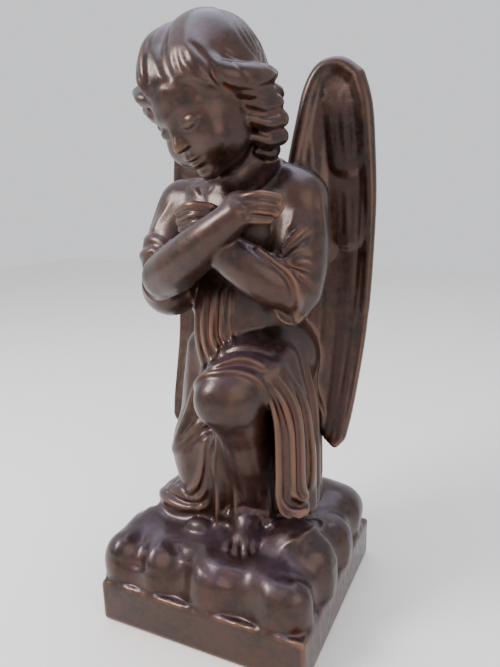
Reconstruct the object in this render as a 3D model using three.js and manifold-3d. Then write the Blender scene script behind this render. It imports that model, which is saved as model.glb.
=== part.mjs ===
// A kneeling angel, cast in one piece with its wings, its cloud mound and its square plinth.
// The figure is modelled as clay: a field of distances, in millimetres, that solids are pressed onto
// and tools cut into.
// Marching cubes turn the field into a surface, which is thinned and joined to the sharp-edged plinth.
// +Z is up, the figure faces -Y, and the origin is the centre of the plinth's underside.
import * as THREE from 'three';
import { MarchingCubes } from 'three/addons/objects/MarchingCubes.js';
import { SimplifyModifier } from 'three/addons/modifiers/SimplifyModifier.js';
import { mergeVertices } from 'three/addons/utils/BufferGeometryUtils.js';
import Module from 'manifold-3d';

const wasm = await Module();
wasm.setup();

// Driving dimensions. The figure is modelled at 640 mm high, and the finished piece is scaled
// to the height given here.
const modelledHeight = 640;
const statueHeight = 640;
const plinth = { side: 244, height: 49, cornerRadius: 5, arris: 2.5 };
const gridCells = 152;          // clay grid cells along each side
const cell = 4.3;               // size of one grid cell
const trianglesKept = 9600;     // triangles of the clay once it is thinned

// ---------------------------------------------------------------- small vector helpers
const plus = (a, b, k = 1) => [a[0] + b[0] * k, a[1] + b[1] * k, a[2] + b[2] * k];
const blendOf = (a, b, t) => a + (b - a) * t;
const clamp01 = (t) => Math.min(1, Math.max(0, t));
const smooth = (t) => t * t * (3 - 2 * t);
const radians = (degrees) => degrees * Math.PI / 180;

// Points along a smooth curve through the given ones.
function curve(points, steps = 6) {
  const places = points.map((p) => new THREE.Vector3(...p));
  const line = new THREE.CatmullRomCurve3(places, false, 'centripetal');
  return line.getPoints(steps * (points.length - 1)).map((p) => p.toArray());
}

// The radius at t along a tube, from a short list of radii spread evenly along it.
function spread(values, t) {
  if (typeof values === 'number') return values;
  const s = clamp01(t) * (values.length - 1);
  const i = Math.min(values.length - 2, Math.floor(s));
  return blendOf(values[i], values[i + 1], s - i);
}

// ---------------------------------------------------------------- solids: a box to look in and a distance
function ball(centre, radii, turn = null) {
  const r = typeof radii === 'number' ? [radii, radii, radii] : radii;
  const reach = Math.max(...r);
  const axes = turn ?? [[1, 0, 0], [0, 1, 0], [0, 0, 1]];
  return {
    low: plus(centre, [reach, reach, reach], -1), high: plus(centre, [reach, reach, reach]),
    distance(x, y, z) {
      const px = x - centre[0], py = y - centre[1], pz = z - centre[2];
      let k0 = 0, k1 = 0;
      for (let i = 0; i < 3; i++) {
        const q = (px * axes[i][0] + py * axes[i][1] + pz * axes[i][2]) / r[i];
        k0 += q * q;
        k1 += q * q / (r[i] * r[i]);
      }
      k0 = Math.sqrt(k0);
      return k1 > 0 ? k0 * (k0 - 1) / Math.sqrt(k1) : -Math.min(...r);
    },
  };
}

// A tapered rod with round ends along a line of points.
function tube(points, radii) {
  const n = points.length - 1;
  const reach = Math.max(...(typeof radii === 'number' ? [radii] : radii));
  const low = [0, 1, 2].map((i) => Math.min(...points.map((p) => p[i])) - reach);
  const high = [0, 1, 2].map((i) => Math.max(...points.map((p) => p[i])) + reach);
  const segments = [];
  for (let i = 0; i < n; i++) {
    const a = points[i], d = plus(points[i + 1], a, -1);
    const dd = d[0] * d[0] + d[1] * d[1] + d[2] * d[2];
    segments.push({ a, d, dd, ra: spread(radii, i / n), rb: spread(radii, (i + 1) / n) });
  }
  return {
    low, high,
    distance(x, y, z) {
      let best = Infinity;
      for (const s of segments) {
        const px = x - s.a[0], py = y - s.a[1], pz = z - s.a[2];
        const t = clamp01((px * s.d[0] + py * s.d[1] + pz * s.d[2]) / s.dd);
        const qx = px - s.d[0] * t, qy = py - s.d[1] * t, qz = pz - s.d[2] * t;
        best = Math.min(best, Math.sqrt(qx * qx + qy * qy + qz * qz) - blendOf(s.ra, s.rb, t));
      }
      return best;
    },
  };
}
const limb = (a, b, ra, rb) => tube([a, b], [ra, rb]);

function block(centre, half, round) {
  return {
    low: plus(centre, half, -1), high: plus(centre, half),
    distance(x, y, z) {
      const q = [x, y, z].map((v, i) => Math.abs(v - centre[i]) - half[i] + round);
      const out = Math.hypot(Math.max(q[0], 0), Math.max(q[1], 0), Math.max(q[2], 0));
      return out + Math.min(Math.max(q[0], q[1], q[2]), 0) - round;
    },
  };
}

// ---------------------------------------------------------------- the clay
class Clay {
  constructor(cells, size, centre) {
    Object.assign(this, { cells, size, centre });
    this.marching = new MarchingCubes(cells, new THREE.MeshStandardMaterial(), false, false, 400000);
    this.marching.isolation = 0;
    this.field = this.marching.field;
    this.field.fill(-60);            // outside is negative, as marching cubes expects
    this.corner = centre.map((c) => c - size * cells / 2);
  }

  // Calls visit(index, x, y, z) for each grid point in a box.
  within(low, high, reach, visit) {
    const { cells, size, corner } = this;
    const from = low.map((v, i) => Math.max(0, Math.floor((v - reach - corner[i]) / size)));
    const to = high.map((v, i) => Math.min(cells - 1, Math.ceil((v + reach - corner[i]) / size)));
    for (let k = from[2]; k <= to[2]; k++) {
      for (let j = from[1]; j <= to[1]; j++) {
        for (let i = from[0]; i <= to[0]; i++) {
          const [x, y, z] = [i, j, k].map((n, axis) => corner[axis] + n * size);
          visit(i + cells * (j + cells * k), x, y, z);
        }
      }
    }
  }

  // Presses a solid on, with a fillet of about the given size.
  add(solid, fillet = 2) {
    const { field } = this;
    this.within(solid.low, solid.high, fillet + 3 * this.size, (n, x, y, z) => {
      const old = -field[n], d = solid.distance(x, y, z);
      const h = Math.max(fillet - Math.abs(old - d), 0) / fillet;
      field[n] = -(Math.min(old, d) - h * h * fillet / 4);
    });
  }

  // Cuts a solid away, with a rounded brink.
  cut(solid, fillet = 2) {
    const { field } = this;
    this.within(solid.low, solid.high, fillet + 3 * this.size, (n, x, y, z) => {
      const old = -field[n], d = -solid.distance(x, y, z);
      const h = Math.max(fillet - Math.abs(old - d), 0) / fillet;
      field[n] = -(Math.max(old, d) + h * h * fillet / 4);
    });
  }

  // Draws a modelling tool along a line near the surface: it raises a ridge, or sinks a groove
  // where height is negative.
  stroke(points, width, height, sharp = 1) {
    const { field } = this;
    const touched = new Map();
    const n = points.length - 1;
    for (let s = 0; s < n; s++) {
      const a = points[s], d = plus(points[s + 1], a, -1);
      const dd = d[0] * d[0] + d[1] * d[1] + d[2] * d[2];
      const wMax = Math.max(spread(width, s / n), spread(width, (s + 1) / n));
      const low = [0, 1, 2].map((i) => Math.min(a[i], a[i] + d[i]) - wMax);
      const high = [0, 1, 2].map((i) => Math.max(a[i], a[i] + d[i]) + wMax);
      this.within(low, high, 0, (index, x, y, z) => {
        const px = x - a[0], py = y - a[1], pz = z - a[2];
        const t = clamp01((px * d[0] + py * d[1] + pz * d[2]) / dd);
        const along = (s + t) / n;
        const away = Math.hypot(px - d[0] * t, py - d[1] * t, pz - d[2] * t) / spread(width, along);
        if (away >= 1) return;
        const lift = spread(height, along) * Math.pow(smooth(1 - away), sharp);
        const old = touched.get(index) ?? 0;
        if (Math.abs(lift) > Math.abs(old)) touched.set(index, lift);
      });
    }
    for (const [index, lift] of touched) field[index] += lift;
  }

  // Makes the surface closed and free of shared edges: values keep off zero, and no grid square has its
  // two inside corners on one diagonal and its two outside corners on the other.
  settle() {
    const { field, cells } = this;
    const least = 0.06 * this.size;
    field.forEach((v, n) => { if (Math.abs(v) < least) field[n] = v < 0 ? -least : least; });
    const steps = [1, cells, cells * cells];
    let changed = true;
    while (changed) {
      changed = false;
      for (let n = 0; n < field.length - steps[2] - steps[1]; n++) {
        if (Math.abs(field[n]) > 3 * this.size) continue;
        for (let a = 0; a < 3; a++) {
          const p = steps[a], q = steps[(a + 1) % 3];
          const inside = field[n] > 0;
          if (field[n + p + q] > 0 !== inside) continue;
          if (field[n + p] > 0 === inside || field[n + q] > 0 === inside) continue;
          const hollow = inside ? [n + p, n + q] : [n, n + p + q];
          const shallow = field[hollow[0]] > field[hollow[1]] ? hollow[0] : hollow[1];
          field[shallow] = least;
          changed = true;
        }
      }
    }
  }

  surface() {
    this.settle();
    this.marching.update();
    const used = this.marching.geometry.drawRange.count * 3;
    const g = new THREE.BufferGeometry();
    g.setAttribute('position', new THREE.BufferAttribute(this.marching.positionArray.slice(0, used), 3));
    const half = this.size * this.cells / 2;
    g.scale(half, half, half);
    g.translate(...this.centre);
    return mergeVertices(g, 1e-3);
  }
}

// ---------------------------------------------------------------- the mound of cloud
function addMound(clay) {
  clay.add(block([0, 6, 62], [115, 109, 30], 20), 4);
  clay.add(ball([0, 15, 62], [102, 98, 42]), 14);
  const lumps = [            // x, y, half-width, half-depth, height of the top
    [-102, -88, 25, 26, 91], [-56, -78, 26, 28, 88], [-8, -66, 34, 38, 90], [42, -76, 28, 30, 85],
    [88, -76, 32, 32, 90], [96, -20, 26, 38, 92], [96, 40, 26, 34, 97], [86, 88, 34, 32, 102],
    [28, 94, 36, 27, 94], [-32, 94, 34, 27, 92], [-90, 86, 32, 32, 94],
    [-102, 28, 25, 36, 95], [-104, -30, 24, 36, 95],
  ];
  const halfHeight = 28;
  for (const [x, y, halfWidth, halfDepth, top] of lumps) {
    clay.add(ball([x, y, top - halfHeight], [halfWidth, halfDepth, halfHeight]), 8);
  }
}

// ---------------------------------------------------------------- legs under and out of the tunic
function addLegs(clay) {
  clay.add(limb([-28, 25, 285], [-38, -34, 165], 44, 32), 10);          // kneeling thigh, under the cloth
  clay.add(limb([-38, -36, 142], [-44, 78, 122], 30, 22), 10);          // kneeling shin
  clay.add(tube([[-44, 76, 124], [-47, 92, 112], [-50, 106, 98]], [16, 14, 11]), 6);   // and foot, sole up
  clay.add(limb([36, 20, 290], [25, -60, 272], 46, 35), 8);             // raised thigh
  clay.add(ball([24, -67, 268], [33, 34, 35]), 6);                      // bare knee
  clay.add(tube([[24, -66, 260], [17, -42, 200], [15, -12, 125]], [31, 24, 17]), 6);
  clay.add(ball([24, -34, 205], [21, 22, 42]), 8);                      // calf
}

function addFoot(clay) {
  clay.add(ball([16, -12, 112], [17, 20, 20]), 6);
  clay.add(tube([[16, -8, 112], [22, -40, 104], [26, -62, 97]], [17, 17, 14]), 6);
  clay.add(ball([28, -58, 92], [23, 22, 12]), 6);
  for (let toe = 0; toe < 5; toe++) {
    const side = [0, 14, 23, 31, 38][toe];
    const reach = [0, 1, -3, -9, -17][toe];
    const radius = [7.5, 5.5, 5.2, 5, 4.8][toe];
    clay.add(limb([14 + side * 0.9, -60, 92], [11 + side, -80 - reach, 90], radius, radius), 2);
  }
}

// ---------------------------------------------------------------- torso, arms and hands
function addTorso(clay) {
  clay.add(ball([0, 6, 432], [70, 46, 62]), 10);
  clay.add(ball([2, 12, 350], [62, 48, 66]), 14);
  clay.add(ball([4, 25, 292], [74, 56, 55]), 14);
  clay.add(limb([-66, 8, 455], [66, 8, 463], 33, 34), 12);
  clay.add(limb([0, 4, 478], [-4, -12, 515], 26, 25), 10);              // neck
  clay.add(limb([16, 10, 494], [56, 10, 470], 22, 28), 10);             // slope of the left shoulder
}

function addArms(clay) {
  clay.add(limb([-70, 6, 452], [-64, -38, 385], 31, 30), 8);            // right upper arm
  clay.add(tube(curve([[-62, -50, 381], [-14, -70, 414], [30, -70, 440]]), [29, 27, 23, 15]), 6);
  clay.add(limb([74, 10, 458], [80, -34, 378], 33, 34), 8);             // left upper arm
  clay.add(tube(curve([[80, -42, 372], [44, -56, 400], [12, -58, 424]]), [29, 27, 22, 15]), 5);
  clay.add(limb([10, -56, 426], [-16, -50, 440], 14, 12), 5);           // left hand, half hidden
  clay.add(tube([[30, -70, 440], [46, -64, 447], [56, -58, 450]], [14, 14, 13]), 5);     // right hand
  for (let finger = 0; finger < 4; finger++) {
    const z = 462 - finger * 8.2;
    const reach = 72 - Math.abs(finger - 1) * 3;
    clay.add(tube([[52, -60, z - 4], [64, -56, z - 1], [reach, -46, z]], [5.6, 5.4, 4.8]), 2);
  }
  for (let finger = 0; finger < 3; finger++) {
    const z = 450 - finger * 10.5;
    clay.add(limb([-14, -52, z - 3], [-40 + finger * 7, -48, z], 6.4, 6.2), 2);
  }
}

function addSleeves(clay) {
  clay.add(tube([[-71, 8, 452], [-71, -12, 415], [-62, -28, 386]], [31, 33, 36]), 6);
  clay.add(tube([[76, 10, 455], [84, -12, 410], [84, -24, 372]], [33, 36, 34]), 6);
  clay.add(limb([84, -22, 372], [80, -28, 350], 28, 18), 8);            // its hanging corner
}

// ---------------------------------------------------------------- the tunic from the waist down
const skirt = {
  middle: [-8, 24], foot: 92, waist: 410,
  halfWidth: (z) => spread([84, 84, 80, 66, 58, 44], (z - 92) / 318),
  halfDepth: (z) => spread([66, 62, 58, 50, 42, 32], (z - 92) / 318),
};

function addSkirt(clay) {
  const [cx, cy] = skirt.middle;
  clay.add({
    low: [cx - 110, cy - 80, 70], high: [cx + 110, cy + 80, skirt.waist + 10],
    distance(x, y, z) {
      const a = skirt.halfWidth(z), b = skirt.halfDepth(z);
      const px = x - cx, py = y - cy;
      const k0 = Math.hypot(px / a, py / b), k1 = Math.hypot(px / (a * a), py / (b * b)) || 1e-6;
      const angle = Math.atan2(py, px);
      const fold = 5 * clamp01((380 - z) / 200) * Math.sin(angle * 17 + 0.6 * Math.sin(angle * 5));
      return Math.max(k0 * (k0 - 1) / k1 - fold, z - skirt.waist, skirt.foot - 12 - z);
    },
  }, 10);
}

// Cloth over the raised thigh: two rolled hems over the knee, and the curtain of folds that hangs
// beside the shin.
function addCurtain(clay) {
  clay.add(limb([37, 20, 292], [27, -44, 284], 48, 37), 8);
  const edge = curve([[-3, -68, 262], [3, -82, 298], [26, -84, 312], [50, -73, 298], [60, -58, 265],
    [64, -50, 220], [63, -44, 160], [61, -42, 108]]);
  clay.add(tube(edge, [3.5, 4.5, 5, 5, 5.5, 6, 7, 8]), 3);
  const roll = curve([[6, -66, 290], [14, -74, 313], [34, -66, 316], [50, -55, 298], [62, -44, 260]]);
  clay.add(tube(roll, [3, 5, 5, 5, 4]), 4);
  const folds = [            // each from the thigh to the hem, with its radii
    [[[54, -56, 285], [66, -46, 225], [68, -40, 160], [68, -40, 104]], [7, 9, 10, 11]],
    [[[58, -40, 300], [72, -34, 235], [77, -30, 160], [78, -34, 104]], [8, 10, 11, 12]],
    [[[62, -18, 304], [76, -16, 235], [80, -10, 160], [81, -16, 104]], [10, 11, 11, 12]],
    [[[62, 4, 306], [74, 6, 240], [76, 12, 160], [76, 8, 104]], [12, 12, 12, 12]],
    [[[58, 26, 300], [64, 30, 240], [66, 36, 160], [66, 34, 104]], [12, 12, 12, 12]],
  ];
  for (const [route, radii] of folds) clay.add(tube(curve(route), radii), 6);
}

// Cloth round the kneeling leg: the knee's smooth bulge, the folds beside it and the hem spread
// on the mound.
function addKneelingCloth(clay) {
  clay.add(ball([-37, -34, 172], [27, 28, 40]), 8);
  const folds = [
    [[[-20, -30, 330], [-26, -40, 260], [-28, -52, 190], [-27, -50, 100]], [8, 9, 8, 7]],
    [[[-40, -24, 340], [-50, -34, 280], [-40, -44, 230], [-26, -46, 160]], [9, 9, 8, 6]],
    [[[-44, -4, 345], [-54, -12, 290], [-66, -8, 240], [-74, 4, 180], [-76, 10, 120]],
      [10, 12, 12, 12, 12]],
  ];
  for (const [route, radii] of folds) clay.add(tube(curve(route), radii), 6);
  clay.add(ball([-70, -18, 106], [44, 34, 12]), 6);
}

function cutHollow(clay) {
  clay.cut(tube(curve([[-4, -70, 225], [-8, -50, 180], [-8, -46, 110]]), [8, 17, 17]), 4);
  clay.cut(tube(curve([[50, -70, 235], [46, -50, 190], [44, -46, 118]]), [5, 8, 9]), 3);
}

// ---------------------------------------------------------------- head and hair
const tilt = { yaw: -16, pitch: 32, roll: 13 };       // turned and bowed to the right side, degrees
const head = (() => {
  const turn = new THREE.Matrix4().makeRotationZ(radians(tilt.yaw));
  turn.multiply(new THREE.Matrix4().makeRotationX(radians(tilt.pitch)));
  turn.multiply(new THREE.Matrix4().makeRotationY(radians(-tilt.roll)));
  const side = [], back = [], up = [];
  const x = new THREE.Vector3(), y = new THREE.Vector3(), z = new THREE.Vector3();
  turn.extractBasis(x, y, z);
  return { centre: [-9, -36, 556], side: x.toArray(), back: y.toArray(), up: z.toArray() };
})();
const headAxes = [head.side, head.back, head.up];
const onHead = (side, front, up) => {
  const across = plus(head.centre, head.side, side);
  return plus(plus(across, head.back, -front), head.up, up);
};
const headBall = (side, front, up, radii) => ball(onHead(side, front, up), radii, headAxes);

function addHead(clay) {
  clay.add(headBall(0, -4, 14, [52, 60, 56]), 6);                       // skull
  clay.add(headBall(0, 14, -16, [43, 42, 46]), 10);                     // face
  clay.add(headBall(0, 36, -50, [13, 13, 11]), 10);                     // chin
  for (const side of [-1, 1]) clay.add(headBall(22 * side, 34, -24, [18, 17, 18]), 8);
  clay.add(tube([onHead(0, 52, 4), onHead(0, 60, -14)], [4, 7]), 5);    // nose
  clay.add(tube([onHead(-9, 52, -32), onHead(0, 56, -32), onHead(9, 52, -32)], [3, 5, 3]), 4);
  for (const side of [-1, 1]) clay.cut(headBall(19 * side, 58, -1, [11, 6, 6]), 6);
  for (const side of [-1, 1]) clay.add(headBall(18 * side, 47, -3, [9, 7, 5.5]), 3);
}

function addHair(clay) {
  clay.add(headBall(2, -8, 20, [59, 63, 57]), 4);
  clay.add(headBall(4, -34, -14, [52, 40, 44]), 10);
  clay.add(ball([16, 0, 536], [28, 30, 38]), 10);
  const leftCurls = [[28, -14, 584, 12], [36, -6, 565, 10], [39, -2, 547, 10], [39, 0, 528, 12]];
  for (const [x, y, z, r] of leftCurls) clay.add(ball([x, y, z], [18, 21, r]), 3);
  const rightCurls = [[-60, -54, 568, 10], [-56, -44, 553, 9], [-46, -34, 540, 9]];
  for (const [x, y, z, r] of rightCurls) clay.add(ball([x, y, z], [13, 14, r]), 3);
  for (const side of [-1, 1]) {
    clay.add(headBall(4 + 25 * side, 20, 36, [32, 36, 34]), 6);
    const wave = curve([onHead(6 + 3 * side, 50, 50), onHead(6 + 20 * side, 50, 36),
      onHead(4 + 38 * side, 34, 20), onHead(2 + 45 * side, 14, 6)]);
    clay.add(tube(wave, [8, 10, 10, 9]), 5);
    for (let curl = 0; curl < 3; curl++) {
      clay.add(headBall((36 - curl * 16) * side, -50 - curl * 5, -40 + curl * 2, [12, 12, 15]), 4);
    }
  }
  const parting = curve([onHead(0, -30, 82), onHead(0, 10, 82), onHead(0, 36, 70), onHead(0, 50, 56)]);
  clay.stroke(parting, 9, -5);
}

// ---------------------------------------------------------------- wings
const wingOutline = (() => {
  const edge = new THREE.Shape();
  edge.moveTo(30, 370);
  const vectors = (points) => points.map((p) => new THREE.Vector2(...p));
  edge.splineThru(vectors([[30, 440], [36, 500], [43, 545], [50, 582], [66, 604], [90, 606], [111, 592],
    [122, 562], [128, 515], [130, 460], [128, 400], [125, 335], [122, 275], [119, 225], [115, 200]]));
  edge.lineTo(105, 188);
  edge.splineThru(vectors([[90, 198], [76, 240], [58, 305]]));
  return edge.getPoints(4).map((p) => [p.x, p.y]);
})();

// How deep the middle of the wing lies: the tips come forward beside the skirt, and the blade is
// hollow in front.
function wingDepth(x, z) {
  const outer = spread([16, 32, 52, 69, 76, 79, 81, 83, 84, 85], (z - 150) / 450);
  const inward = clamp01((128 - x) / 100);
  return outer - 30 * inward * clamp01((600 - z) / 160) + 6 * Math.sin(Math.PI * clamp01((x - 36) / 92));
}

function toOutline(x, z) {
  let best = Infinity, inside = false;
  const n = wingOutline.length;
  for (let i = 0, j = n - 1; i < n; j = i++) {
    const [ax, az] = wingOutline[j], [bx, bz] = wingOutline[i];
    const dx = bx - ax, dz = bz - az;
    const t = clamp01(((x - ax) * dx + (z - az) * dz) / (dx * dx + dz * dz || 1));
    best = Math.min(best, Math.hypot(x - ax - dx * t, z - az - dz * t));
    if ((az > z) !== (bz > z) && x < ax + (z - az) / (bz - az) * dx) inside = !inside;
  }
  return inside ? -best : best;
}

// A feather is a shingle that thickens toward its round tip: root, tip, half its width and its
// height at the tip.
const feathers = [
  { root: [98, 590], tip: [106, 486], half: 26, rise: 5 },
  { root: [60, 560], tip: [66, 470], half: 15, rise: 4 },
  { root: [104, 510], tip: [106, 410], half: 24, rise: 4 },
  { root: [66, 500], tip: [76, 400], half: 20, rise: 4 },
  { root: [116, 430], tip: [111, 188], half: 12, rise: 3 },
  { root: [101, 430], tip: [98, 190], half: 12, rise: 3.6 },
  { root: [84, 420], tip: [84, 208], half: 12, rise: 3 },
  { root: [66, 410], tip: [70, 240], half: 12, rise: 3 },
];
function featherRise(x, z) {
  let rise = 0;
  for (const { root, tip, half, rise: top } of feathers) {
    const dx = tip[0] - root[0], dz = tip[1] - root[1], length = Math.hypot(dx, dz);
    const along = ((x - root[0]) * dx + (z - root[1]) * dz) / length;
    const across = ((x - root[0]) * dz - (z - root[1]) * dx) / length / half;
    const nearTip = Math.max(0, along - (length - half)) / half;
    const r = Math.hypot(across, nearTip);
    if (along < 0 || r > 1) continue;
    rise = Math.max(rise, top * clamp01(along / length) * Math.pow(1 - r ** 4, 0.5));
  }
  return rise;
}

function addWings(clay) {
  for (const side of [-1, 1]) {
    clay.add({
      low: side > 0 ? [20, -10, 160] : [-142, -10, 160],
      high: side > 0 ? [142, 110, 620] : [-20, 110, 620],
      distance(x, y, z) {
        const wx = x * side;
        const edge = toOutline(wx, z);
        const half = 5 + featherRise(wx, z);
        const q = [edge + 4, Math.abs(y - wingDepth(wx, z)) - half + 4];
        return Math.hypot(Math.max(q[0], 0), Math.max(q[1], 0)) + Math.min(Math.max(q[0], q[1]), 0) - 4;
      },
    }, 6);
    const rim = wingOutline.filter(([x, z]) => z > 430).map(([x, z]) => {
      const px = x + (84 - x) * 0.17, pz = z + (480 - z) * 0.06;
      return [px * side, wingDepth(px, pz) - 2, pz];
    });
    clay.add(tube(rim, 8.5), 6);
    clay.add(limb([26 * side, 30, 440], [48 * side, 54, 480], 22, 14), 14);   // root at the shoulder blade
  }
}

// ---------------------------------------------------------------- the piece
function buildClay() {
  const clay = new Clay(gridCells, cell, [0, 0, 338]);
  addMound(clay);
  addLegs(clay);
  addTorso(clay);
  addSkirt(clay);
  addKneelingCloth(clay);
  addCurtain(clay);
  cutHollow(clay);
  addWings(clay);
  addSleeves(clay);
  addArms(clay);
  addFoot(clay);
  addHead(clay);
  addHair(clay);
  return clay.surface();
}

async function thinned(geometry, triangles) {
  const surplus = geometry.attributes.position.count - triangles / 2;
  return new SimplifyModifier().modify(geometry, Math.max(0, Math.round(surplus)));
}

function solidOf(geometry) {
  const bare = new THREE.BufferGeometry();
  bare.setAttribute('position', geometry.attributes.position.clone());
  if (geometry.index) bare.setIndex(geometry.index.clone());
  const merged = mergeVertices(bare, 1e-3);
  const positions = merged.attributes.position.array;
  return new wasm.Manifold(new wasm.Mesh({
    numProp: 3,
    vertProperties: new Float32Array(positions),
    triVerts: new Uint32Array(merged.index.array),
  }));
}

// The square plinth, with rounded upright corners and softly broken edges.
function plinthGeometry() {
  const half = plinth.side / 2 - plinth.arris, r = plinth.cornerRadius;
  const square = new THREE.Shape();
  square.absarc(half - r, half - r, r, 0, Math.PI / 2);
  square.absarc(r - half, half - r, r, Math.PI / 2, Math.PI);
  square.absarc(r - half, r - half, r, Math.PI, Math.PI * 1.5);
  square.absarc(half - r, r - half, r, Math.PI * 1.5, Math.PI * 2);
  const block = new THREE.ExtrudeGeometry(square, {
    depth: plinth.height - 2 * plinth.arris, curveSegments: 4,
    bevelSize: plinth.arris, bevelThickness: plinth.arris, bevelSegments: 2,
  });
  block.translate(0, 0, plinth.arris);
  return block;
}

const figure = solidOf(await thinned(buildClay(), trianglesKept));
const whole = figure.add(solidOf(plinthGeometry()));
const cast = whole.getMesh();
const geometry = new THREE.BufferGeometry();
geometry.setAttribute('position', new THREE.BufferAttribute(new Float32Array(cast.vertProperties), 3));
geometry.setIndex(new THREE.BufferAttribute(new Uint32Array(cast.triVerts), 1));
geometry.scale(...Array(3).fill(statueHeight / modelledHeight));
geometry.computeVertexNormals();

const patina = new THREE.MeshStandardMaterial({ color: 0x3a2015, roughness: 0.38, metalness: 0.85 });
const angel = new THREE.Mesh(geometry, patina);
angel.name = 'kneeling_angel';

const group = new THREE.Group();
group.add(angel);
export default group;
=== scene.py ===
import math
import bpy
import numpy as np
from mathutils import Euler, Matrix, Vector


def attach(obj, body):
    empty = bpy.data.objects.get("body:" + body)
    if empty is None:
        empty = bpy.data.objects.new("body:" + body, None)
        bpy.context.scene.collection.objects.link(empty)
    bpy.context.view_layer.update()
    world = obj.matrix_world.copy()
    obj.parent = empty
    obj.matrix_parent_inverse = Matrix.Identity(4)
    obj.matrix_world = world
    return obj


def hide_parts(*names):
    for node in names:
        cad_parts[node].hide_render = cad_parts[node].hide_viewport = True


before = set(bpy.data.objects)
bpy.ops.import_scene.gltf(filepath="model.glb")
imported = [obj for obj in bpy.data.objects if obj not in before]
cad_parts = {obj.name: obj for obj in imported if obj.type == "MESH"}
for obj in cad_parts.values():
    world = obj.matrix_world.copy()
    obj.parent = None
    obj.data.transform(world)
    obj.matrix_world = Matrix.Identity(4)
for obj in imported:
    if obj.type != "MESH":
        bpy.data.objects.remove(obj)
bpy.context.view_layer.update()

# The statue is modelled like clay, in millimetres: a grid of distances to the surface, onto which
# solids are pressed, tools are drawn and hollows are cut. At the end it becomes one mesh in metres.
work = {
    "cell": 1.45,  # grid spacing, mm
    "low": (-142.0, -126.0, -4.0),
    "high": (142.0, 126.0, 648.0),
    "triangles": 190000,
    "mm": 0.001,
    "far": 60.0,  # distance written in empty air, mm
}


def blendOf(a, b, t):
    return a + (b - a) * t


def clamp01(t):
    return np.clip(t, 0.0, 1.0)


def smooth(t):
    t = clamp01(t)
    return t * t * (3 - 2 * t)


def spread(values, t):  # values spread evenly along 0 to 1
    if np.isscalar(values):
        return values
    return np.interp(t, np.linspace(0, 1, len(values)), values)


def curve(points, steps=6):  # a smooth line through the given points
    pts = [np.array(p, float) for p in points]
    pts = [2 * pts[0] - pts[1]] + pts + [2 * pts[-1] - pts[-2]]
    line = []
    for i in range(1, len(pts) - 2):
        a, b, c, d = pts[i - 1:i + 3]
        for k in range(steps):
            t = k / steps
            line.append(0.5 * (2 * b + (c - a) * t + (2 * a - 5 * b + 4 * c - d) * t * t
                               + (3 * b - a - 3 * c + d) * t ** 3))
    line.append(pts[-2])
    return np.array(line)


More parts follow.
